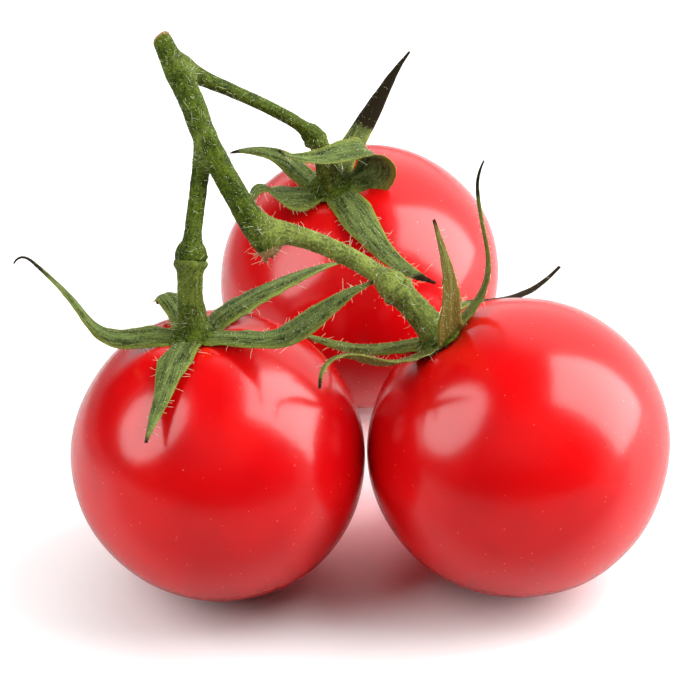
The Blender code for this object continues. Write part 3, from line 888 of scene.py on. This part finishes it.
# name: bearing round the berry, length, climb, full widths, sway, roll, dry from, rust
# (degrees and mm; dry from is the share of the length where the tip starts to dry)
SEPALS = {
    "left": {
        "outer": (186, 25.0, (20, 10, 4, 16, 46, 64, 67, 61, 58, 55, 44, -60),
                  (3.4, 3.5, 3.4, 2.9, 2.3, 1.9, 1.6, 1.3, 1.0, 0.8, 0.5, 0.3),
                  STRAIGHT, (-16, -24, -20, -10, 0), 0.8, 0.0),
        "front": (-110, 16.3, (6, -10, -28, -26, -36), (3.8, 4.3, 2.9, 1.7, 0.4),
                  (0, 1, 0, -3, -5), STRAIGHT, 0.97, 0.0),
        "inner_front": (-33, 29, (8, 10, 34, 36, 28), (3.6, 3.3, 3.6, 2.2, 0.4),
                        STRAIGHT, (0, 10, 45, 50, 40), 0.97, 0.0),
        "inner_back": (38, 20.5, (16, 4, -2, -6, -16), (4.2, 4.4, 3.5, 2.2, 0.5),
                       STRAIGHT, STRAIGHT, 0.97, 0.0),
        "rear": (118, 8.5, (34, 36, 14, -30, -60), (3.2, 2.8, 3.0, 2.6, 1.2),
                 STRAIGHT, STRAIGHT, 0.95, 0.0),
    },
    "right": {
        "front": (-55, 25.6, (47, 39, 45, 54, 56), (4.4, 3.9, 2.4, 1.2, 0.4),
                  STRAIGHT, STRAIGHT, 0.95, 0.85),
        "outer": (8, 22.5, (12, 21, 47, 65, 66, 58, 30), (3.2, 3.0, 2.5, 1.9, 1.5, 1.0, 0.4),
                  STRAIGHT, STRAIGHT, 0.8, 0.5),
        "rear": (70, 25, (-2, -30, -36, -20, 2), (3.0, 2.4, 1.7, 1.2, 0.5),
                 (0, -5, -14, -26, -34), (0, 20, 24, 10), 0.3, 0.3),
        "inner_front": (-129, 20.5, (18, 32, 52, 22, -44), (3.4, 3.2, 2.6, 1.6, 0.4),
                        STRAIGHT, STRAIGHT, 0.95, 0.85),
        "inner_back": (148, 19.5, (6, 8, 20, 36, 30), (3.2, 2.7, 2.0, 1.3, 0.3),
                       STRAIGHT, STRAIGHT, 0.9, 0.4),
    },
    "back": {
        "outer": (150, 14.3, (40, 44, 6, -14, -26), (3.2, 3.2, 2.2, 1.3, 0.3),
                  STRAIGHT, STRAIGHT, 0.85, 0.0),
        "curled": (203, 12.2, (24, 28, 30, 44, 62, -10, -75, -85),
                   (3.8, 5.6, 6.0, 3.8, 1.8, 2.2, 1.9, 0.8),
                   (0, 0, 0, 0, 0, -10, -10), STRAIGHT, 0.88, 0.1),
        "front": (-60, 22.3, (8, -13, -17, -8, 4, 10), (4.2, 4.7, 3.4, 2.4, 1.5, 0.3),
                  (0, -6, 0, 6, 10, 14), STRAIGHT, 0.84, 0.0),
        "folded": (6, 20.2, (10, 22, 88, 152, 162, 156, 148, 142, 116),
                   (3.8, 6.4, 6.8, 5.6, 4.2, 3.2, 2.3, 1.3, 0.5),
                   (0, 0, 6, 24, 24, 18, 14), (0, 30, 34, 10, -8, -12, -12, -10, -10),
                   0.95, 0.0),
        "rear": (70, 20, (8, 10, 20, 24, 18), (3.4, 3.6, 3.0, 1.7, 0.3),
                 (0, -10, -18, -24, -28), STRAIGHT, 0.38, 0.25),
    },
}
print("sepals:", sum(len(table) for table in SEPALS.values()))

# %% Calyx bases
BASE_SIDES = 60
BASE_RADIUS, BASE_POINT = 2.65, 1.15         # mm, and how much further it reaches at a sepal
BASE_PROFILE = ((0.0, 1.75), (0.45, 1.7), (0.62, 1.35), (0.8, 0.72), (0.93, 0.42), (1.0, 0.26),
                (0.96, 0.08), (0.7, 0.06), (0.3, 0.06))      # share of the radius, height in mm


def make_base(berry):
    """The skirt between the pedicel's foot and the sepals."""
    bearings = [math.radians(row[0]) for row in SEPALS[berry.name].values()]
    rings, youth_and_light = [], []
    for share, rise in BASE_PROFILE:
        ring = []
        for k in range(BASE_SIDES):
            turn = 2 * math.pi * k / BASE_SIDES
            near = max(math.cos(turn - bearing) for bearing in bearings)
            radius = max((BASE_RADIUS + BASE_POINT * ease(near, 0.72, 1.0)) * share, 0.05)
            x, y = math.cos(turn), math.sin(turn)
            lump = 0.12 * noise.noise(Vector((x * 2, y * 2, share * 2)))
            height = berry.clear_height(radius, 0.1) + rise + lump
            ring.append(berry.place((radius * x, radius * y, height)))
        rings.append(ring)
        youth_and_light.append([0.35 * ease(share, 0.8, 1.0)] * BASE_SIDES)
    made = loft(rings, {"young": youth_and_light, "dry": [0.0] * len(rings)}, {"fibre": rings})
    return finish_piece(f"{berry.name}_calyx", made, calyx_green, "calyx_green",
                        f"{berry.name}_calyx_base")


base_pieces = [make_base(berry) for berry in berries]
print("calyx bases:", len(base_pieces))

# %% [markdown]
# ## Sepals
#
# A sepal is a thin blade, half a millimetre at the rib and almost nothing at the rim, and
# it curls as it dries. A flat cut-out would look like paper, so each blade is a loft along
# a route that climbs, sways and rolls step by step. Every cross-section is a shallow
# trough with a raised rib underneath, a groove on top and a waving rim. Where a blade
# would sink into a berry it lies on the skin instead.

# %% Sepal route
SEPAL_STATIONS, SEPAL_COLUMNS = 56, 13
ROOT_REACH = 1.4              # mm, the root hidden in the calyx skirt
SEPAL_START = 2.6             # mm from the axis where the free blade begins
RIB_THICKNESS, RIM_THICKNESS = 0.5, 0.12
SKIN_GAP, NEIGHBOUR_GAP = 0.3, 0.25          # mm left to the own berry and to the others


def sepal_route(berry, others, bearing, length, climbs, widths, sway, roll):
    """Stations of a blade: middle point, side, over, half width, share of the length."""
    turn = math.radians(bearing)
    start = Vector((SEPAL_START * math.cos(turn), SEPAL_START * math.sin(turn),
                    berry.shoulder(2.3) + SKIN_GAP + RIB_THICKNESS / 2))
    point, last_ahead, stations = start, None, []
    step = length / SEPAL_STATIONS
    for i in range(SEPAL_STATIONS + 1):
        share = i / SEPAL_STATIONS
        climb = math.radians(blend(climbs, share))
        heading = turn + math.radians(blend(sway, share))
        flat = Vector((math.cos(heading), math.sin(heading), 0))
        ahead = flat * math.cos(climb) + Vector((0, 0, math.sin(climb)))
        side = Vector((-math.sin(heading), math.cos(heading), 0))
        side = Matrix.Rotation(math.radians(blend(roll, share)), 3, ahead) @ side
        over = ahead.cross(side)
        if last_ahead:
            point = point + (ahead + last_ahead) * step / 2
        last_ahead = ahead
        half = max(blend(widths, share), 0.2) / 2
        radius = math.hypot(point.x, point.y)
        if radius < berry.width * 0.45:
            room = SKIN_GAP + RIB_THICKNESS / 2 + 0.1 * half
            point.z = max(point.z, berry.clear_height(radius, room))
        middle = berry.place(point)
        for other in others:
            middle = other.push_out(middle, NEIGHBOUR_GAP + half)
        stations.append((middle, berry.axes @ side, berry.axes @ over, half, share))
    middle, side, over, half, _ = stations[0]
    root = berry.place(start - Vector((math.cos(turn), math.sin(turn), 0)) * ROOT_REACH)
    inward = root - middle
    roots = [(middle + inward * depth, side, over, half * (1 - 0.25 * depth), 0.0)
             for depth in (1.0, 0.66, 0.33)]
    return roots + stations


print("stations of a blade:", SEPAL_STATIONS + 1)

# %% Sepals
RIB_WIDTH, GROOVE_DEPTH = 0.28, 0.10         # mm
TROUGH, WAVE = 0.2, 0.07                     # shares of the half width
ROUND_ONCE = [(1, k) for k in range(SEPAL_COLUMNS)]
ROUND_ONCE += [(-1, k) for k in reversed(range(SEPAL_COLUMNS))]      # over the top, back below


def make_sepal(berry, others, part, row):
    """One blade as a closed loft, with marks for rib, rim, rust and dry tip."""
    bearing, length, climbs, widths, sway, roll, dry_from, rust = row
    seed = len(part) * 3.7 + bearing * 0.1
    rings, fibres = [], []
    marks = {key: [] for key in ("rib", "rim", "rust", "dry", "young")}
    run = 0
    stations = sepal_route(berry, others, bearing, length, climbs, widths, sway, roll)
    for i, (middle, side, over, half, share) in enumerate(stations):
        run += (middle - stations[i - 1][0]).length if i else 0
        ring, fibre_row = [], []
        rows = {key: [] for key in marks}
        wave = WAVE * half * (1 - share) + 0.03
        for face, k in ROUND_ONCE:
            across = 2 * k / (SEPAL_COLUMNS - 1) - 1
            thick = RIM_THICKNESS + (RIB_THICKNESS - RIM_THICKNESS) * (1 - abs(across) ** 1.5)
            thick = min(thick, half * 0.9) / 2
            rib = math.exp(-(across * half / RIB_WIDTH) ** 2)
            ripple = noise.noise(Vector((run * 0.6, seed + 5, 2 * across)))
            level = face * thick - TROUGH * half * across ** 2
            level -= GROOVE_DEPTH * rib * min(half, 1)
            level += wave * across ** 4 * ripple * 2
            wide = half * (1 + 0.06 * noise.noise(Vector((run * 0.5, seed, across * 0.7))))
            ring.append(middle + side * across * wide + over * level)
            fibre_row.append(Vector((across * half * 2.2, face * 3.0, run * 0.16 + seed)))
            rows["rib"].append(rib * (1 - 0.4 * share))
            rows["rim"].append(0.55 * abs(across) ** 6)
            rows["rust"].append(rust * (1.0 if face < 0 else 0.35) * (1 - 0.4 * share))
            rows["dry"].append(ease(share, dry_from - 0.12, dry_from + 0.12))
            rows["young"].append(0.35 * (1 - ease(share, 0.0, 0.25)))
        rings.append(ring)
        fibres.append(fibre_row)
        for key in marks:
            marks[key].append(rows[key])
    made = loft(rings, marks, {"fibre": fibres})
    name = f"{berry.name}_sepal_{part}"
    return finish_piece(name + "_blade", made, sepal_green, "sepal_green", name), stations


blades = []
for berry in berries:
    others = [other for other in berries if other is not berry]
    for part, row in SEPALS[berry.name].items():
        blades.append(make_sepal(berry, others, part, row))
print("blades:", len(blades))

# %% [markdown]
# ## Hairs
#
# Everything green on a tomato plant is hairy, and the long hairs show against the red. A
# particle system could comb them, but it would leave nothing in the mesh. Each hair here
# is a thin three-sided spike that bends a little. Feet are drawn at random over the faces
# by area, always from the same seed, so the coat comes out the same each time.

# %% Hair builder
# each ring of a hair: its share of the length, the first just under the skin, and its width
HAIR_TAPER = ((-0.06, 1.0), (0.5, 0.6), (1.0, 0.25))
RIM_HAIR_TAPER, RIM_HAIR_THICK = ((-0.05, 1.0), (0.5, 0.7), (1.0, 0.3)), 0.038


class Coat:
    """Spikes gathered into one piece: their points, faces and tip marks."""

    def __init__(self, thick, taper, droop):
        self.points, self.faces, self.tips = [], [], []
        self.thick, self.taper, self.droop = thick, taper, droop

    def grow(self, foot, heading, bend, length):
        """Adds one three-sided spike in three rings that bends a little."""
        across = heading.orthogonal().normalized()
        over = heading.cross(across)
        base = len(self.points)
        for share, size in self.taper:
            bent = bend * length * max(share, 0) ** 2 * self.droop
            spot = foot + heading * length * share + bent
            for k in range(3):
                turn = 2 * math.pi * k / 3
                out = across * math.cos(turn) + over * math.sin(turn)
                self.points.append((spot + out * self.thick * size) * MM)
                self.tips.append(max(share, 0))
        for ring in (0, 3):
            for k in range(3):
                a, b = base + ring + k, base + ring + (k + 1) % 3
                self.faces.append((a, b, b + 3, a + 3))
        self.faces += [(base + 2, base + 1, base), (base + 6, base + 7, base + 8)]

    def finish(self, name):
        """The spikes become a named piece, riding on the truss."""
        mesh = bpy.data.meshes.new(name)
        mesh.from_pydata(self.points, [], self.faces)
        mesh.attributes.new("tip", "FLOAT", "POINT").data.foreach_set("value", self.tips)
        mesh.materials.append(pale_hair)
        mesh.shade_smooth()
        made = bpy.data.objects.new(name, mesh)
        bpy.context.scene.collection.objects.link(made)
        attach(made, "root")


print("a hair has", len(HAIR_TAPER), "rings of three points")

# %% Ways to grow a coat
RIM_HAIR_SHARE = 0.22         # how many of the places along a rim have a hair


def hair_coat(name, piece, slot, seed, per_square, lengths, thick, lean=0.5, keep=None):
    """Hairs over a piece's faces: density per square mm, length range and foot radius in mm."""
    draw = random.Random(seed)
    coat = Coat(thick, HAIR_TAPER, 0.6)
    mesh = piece.data
    areas = np.array([polygon.area for polygon in mesh.polygons]) / MM ** 2
    count = int(areas.sum() * per_square)
    for index in draw.choices(range(len(areas)), weights=areas.tolist(), k=count):
        polygon = mesh.polygons[index]
        corners = [mesh.vertices[v].co / MM for v in polygon.vertices]
        weights = [draw.random() + 1e-3 for _ in corners]
        foot = sum((c * w for c, w in zip(corners, weights)), Vector()) / sum(weights)
        normal = polygon.normal
        wander = Vector([draw.gauss(0, lean) for _ in range(3)])
        bend = Vector([draw.gauss(0, 0.35) for _ in range(3)])
        length = draw.uniform(*lengths) * draw.uniform(0.6, 1)
        if keep and not keep(foot):
            continue
        heading = (normal + wander).normalized()
        if heading.dot(normal) < 0.15:
            heading = (heading + normal).normalized()
        coat.grow(foot, heading, bend, length)
    coat.finish(name)


def rim_hairs(name, stations, seed):
    """Long hairs along both rims of a blade."""
    draw = random.Random(seed)
    coat = Coat(RIM_HAIR_THICK, RIM_HAIR_TAPER, 0.5)
    for middle, side, over, half, _ in stations[4:-3]:
        for flank in (-1, 1):
            if draw.random() > RIM_HAIR_SHARE:
                continue
            foot = middle + side * flank * half * 0.96 - over * 0.2 * half
            wander = Vector([draw.gauss(0, 0.35) for _ in range(3)])
            length = draw.uniform(0.35, 0.9) if draw.random() < 0.7 else draw.uniform(0.9, 1.8)
            bend = Vector([draw.gauss(0, 0.3) for _ in range(3)])
            coat.grow(foot, (side * flank + wander).normalized(), bend, length)
    coat.finish(name)


print("share of rim places with a hair:", RIM_HAIR_SHARE)

# %% Hairs on stems and sepals
# each kind: hairs per square mm, their lengths and the radius of a foot in mm
STEM_FUZZ, STEM_HAIRS = (1.8, (0.2, 0.45), 0.028), (0.4, (0.7, 1.8), 0.04)
SEPAL_FUZZ, CALYX_FUZZ = (1.8, (0.15, 0.4), 0.028), (2.0, (0.2, 0.6), 0.024)
TORN_FIBRES, TORN_REACH = (2.5, (0.6, 1.9), 0.05, 0.3), 1.4
for number, piece in enumerate(stem_pieces):
    name = piece.name.replace("_green", "")
    hair_coat(f"{name}_fuzz", piece, "stem_green", 100 + number, *STEM_FUZZ)
    hair_coat(f"{name}_hairs", piece, "stem_green", 200 + number, *STEM_HAIRS)
hair_coat("truss_stalk_fibres", stem_pieces[0], "stem_green", 600, *TORN_FIBRES,
          keep=lambda foot: (foot - stalk.points[-1]).length < TORN_REACH)
for number, (piece, stations) in enumerate(blades):
    name = piece.name.replace("_blade", "")
    hair_coat(f"{name}_fuzz", piece, "sepal_green", 300 + number, *SEPAL_FUZZ)
    rim_hairs(f"{name}_rim_hairs", stations, 400 + number)
for number, piece in enumerate(base_pieces):
    hair_coat(f"{piece.name}_fuzz", piece, "calyx_green", 500 + number, *CALYX_FUZZ)
print("hair coats:", pale_hair.users)

# %% [markdown]
# ## Table
#
# The truss lies on a plain white table. Waxy skin mirrors whatever lies round it, and a
# table that is white right up to the fruit would wash out the lower half of each berry. A
# stand-in of grey card under the fruit would show in the picture, so the table is white to
# the eye and painted grey only in reflections: painted shade in the mirrored table, darkest
# close in front and behind on the left.

# %% Floor
# painted shade: greys that the berries' skin sees in the table in place of white
FRONT_PAINTED_SHADE, MIRRORED_PAINTED_SHADE, BACK_LEFT_PAINTED_SHADE = (0.14,) * 3, (0.5,) * 3, (0.12,) * 3
TABLE_REACH = 0.5
floor_material, tree, shader = start_material("pale_table", Roughness=0.6)
white = mixed(tree, clouded(tree, room_point(tree), 60.0), (0.93,) * 3, (0.96,) * 3)
spot = place(tree, "ShaderNodeSeparateXYZ", {"Vector": room_point(tree)}).outputs
grey = mixed(tree, stepped(tree, spot["Y"], -0.055, -0.03), FRONT_PAINTED_SHADE, MIRRORED_PAINTED_SHADE)
back_left = maths(tree, "MULTIPLY_ADD", spot["X"], -1.2, spot["Y"])
grey = mixed(tree, stepped(tree, back_left, 0.1, 0.17), grey, BACK_LEFT_PAINTED_SHADE)
# only reflections get the painted shade; the camera and all other rays see white
mirrored = place(tree, "ShaderNodeLightPath").outputs["Is Glossy Ray"]
tree.links.new(mixed(tree, mirrored, white, grey), shader.inputs["Base Color"])
floor_mesh = bpy.data.meshes.new("table")
sheet = bmesh.new()
bmesh.ops.create_grid(sheet, x_segments=4, y_segments=4, size=TABLE_REACH)
sheet.to_mesh(floor_mesh)
sheet.free()
floor_mesh.materials.append(floor_material)
floor = bpy.data.objects.new("table", floor_mesh)
bpy.context.scene.collection.objects.link(floor)
print("table in m:", [round(c, 2) for c in floor.dimensions])

# %% [markdown]
# ## Light
#
# Two soft boxes stand to the right and to the left, and the skin mirrors them as pale
# panels. The other lights are fills that no skin mirrors: two lift only the truss, one
# lifts only the table, so that its shadows are soft but stay deep under the fruit, and a
# tiny red one warms the table between the front berries, where light comes through the
# flesh. The room is white behind and dark on the side of the camera, which keeps the
# middle of each berry deep red.

# %% Lights
TRUSS_MIDDLE = Vector((0, 0, 0.02))
FLESH_LIGHT = (1.0, 0.02, 0.06)


def area_light(name, location, size, power, mirrored=False, shape="RECTANGLE"):
    """An area light that faces down; mirrored says whether glossy skin shows it."""
    data = bpy.data.lights.new(name, "AREA")
    data.shape = shape
    data.size, data.size_y = size
    data.energy = power
    made = bpy.data.objects.new(name, data)
    made.location = location
    made.visible_glossy = mirrored
    made.visible_camera = False
    bpy.context.scene.collection.objects.link(made)
    return made


def soft_box(name, direction, distance, size, power, **looks):
    """An area light at a distance from the truss that faces it."""
    heading = Vector(direction).normalized()
    made = area_light(name, TRUSS_MIDDLE + heading * distance, size, power, **looks)
    made.rotation_euler = (-heading).to_track_quat("-Z", "Y").to_euler()
    return made


def light_only(name, lights, receivers):
    """Links lights so that they reach only these objects."""
    lit = bpy.data.collections.new(name)
    for receiver in receivers:
        lit.objects.link(receiver)
    for light in lights:
        light.light_linking.receiver_collection = lit


soft_box("right box", (0.8, 0.1, 0.58), 0.6, (0.5, 0.8), 7.0, mirrored=True)
soft_box("left box", (-0.76, -0.22, 0.62), 0.6, (0.46, 0.64), 3.3, mirrored=True, shape="ELLIPSE")
rear = soft_box("back fill", (0.0, 0.6, 0.8), 0.8, (0.8, 0.6), 2.6)
front = soft_box("front fill", (0.0, -0.7, 0.7), 0.8, (0.8, 0.6), 2.6)
over = soft_box("table fill", (0.0, 0.15, 1.0), 0.9, (1.0, 1.0), 4.8)
between = Vector(((left.centre.x + right.centre.x) / 2, left.centre.y + 12, 12)) * MM
glow = area_light("light through the berries", between, (0.012, 0.012), 0.0006)
glow.data.color = FLESH_LIGHT
meshes = [o for o in bpy.data.objects if o.type == "MESH" and o is not floor]
truss = [o for o in meshes if o.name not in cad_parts]
light_only("lit from front and back", [front, rear], truss)
light_only("lit from above", [over], [floor])

# %% Room
RIGHT_SLOPE, LEFT_SLOPE, RISE_SLOPE = 0.35, 1.4, -0.6        # how the white fades to each side
DARK, BRIGHT = 0.01, 1.15
world = bpy.data.worlds.new("white room")
bpy.context.scene.world = world
world.use_nodes = True
tree = world.node_tree
backdrop = tree.nodes["Background"]
backdrop.inputs["Color"].default_value = (1, 1, 1, 1)
way = place(tree, "ShaderNodeTexCoord").outputs["Generated"]
axis = place(tree, "ShaderNodeSeparateXYZ", {"Vector": way}).outputs
slopes = [maths(tree, "MULTIPLY", axis["X"], slope) for slope in (RIGHT_SLOPE, LEFT_SLOPE)]
sideways = maths(tree, "ADD", maths(tree, "MINIMUM", *slopes), axis["Y"])
turned = maths(tree, "MULTIPLY_ADD", axis["Z"], RISE_SLOPE, sideways)
seen = place(tree, "ShaderNodeLightPath").outputs["Is Camera Ray"]
strength = weighed(tree, seen, stepped(tree, turned, -0.35, 0.4, DARK, BRIGHT), 1.0)
tree.links.new(strength, backdrop.inputs["Strength"])
bpy.context.scene.view_settings.view_transform = "Standard"
print("room:", world.name)
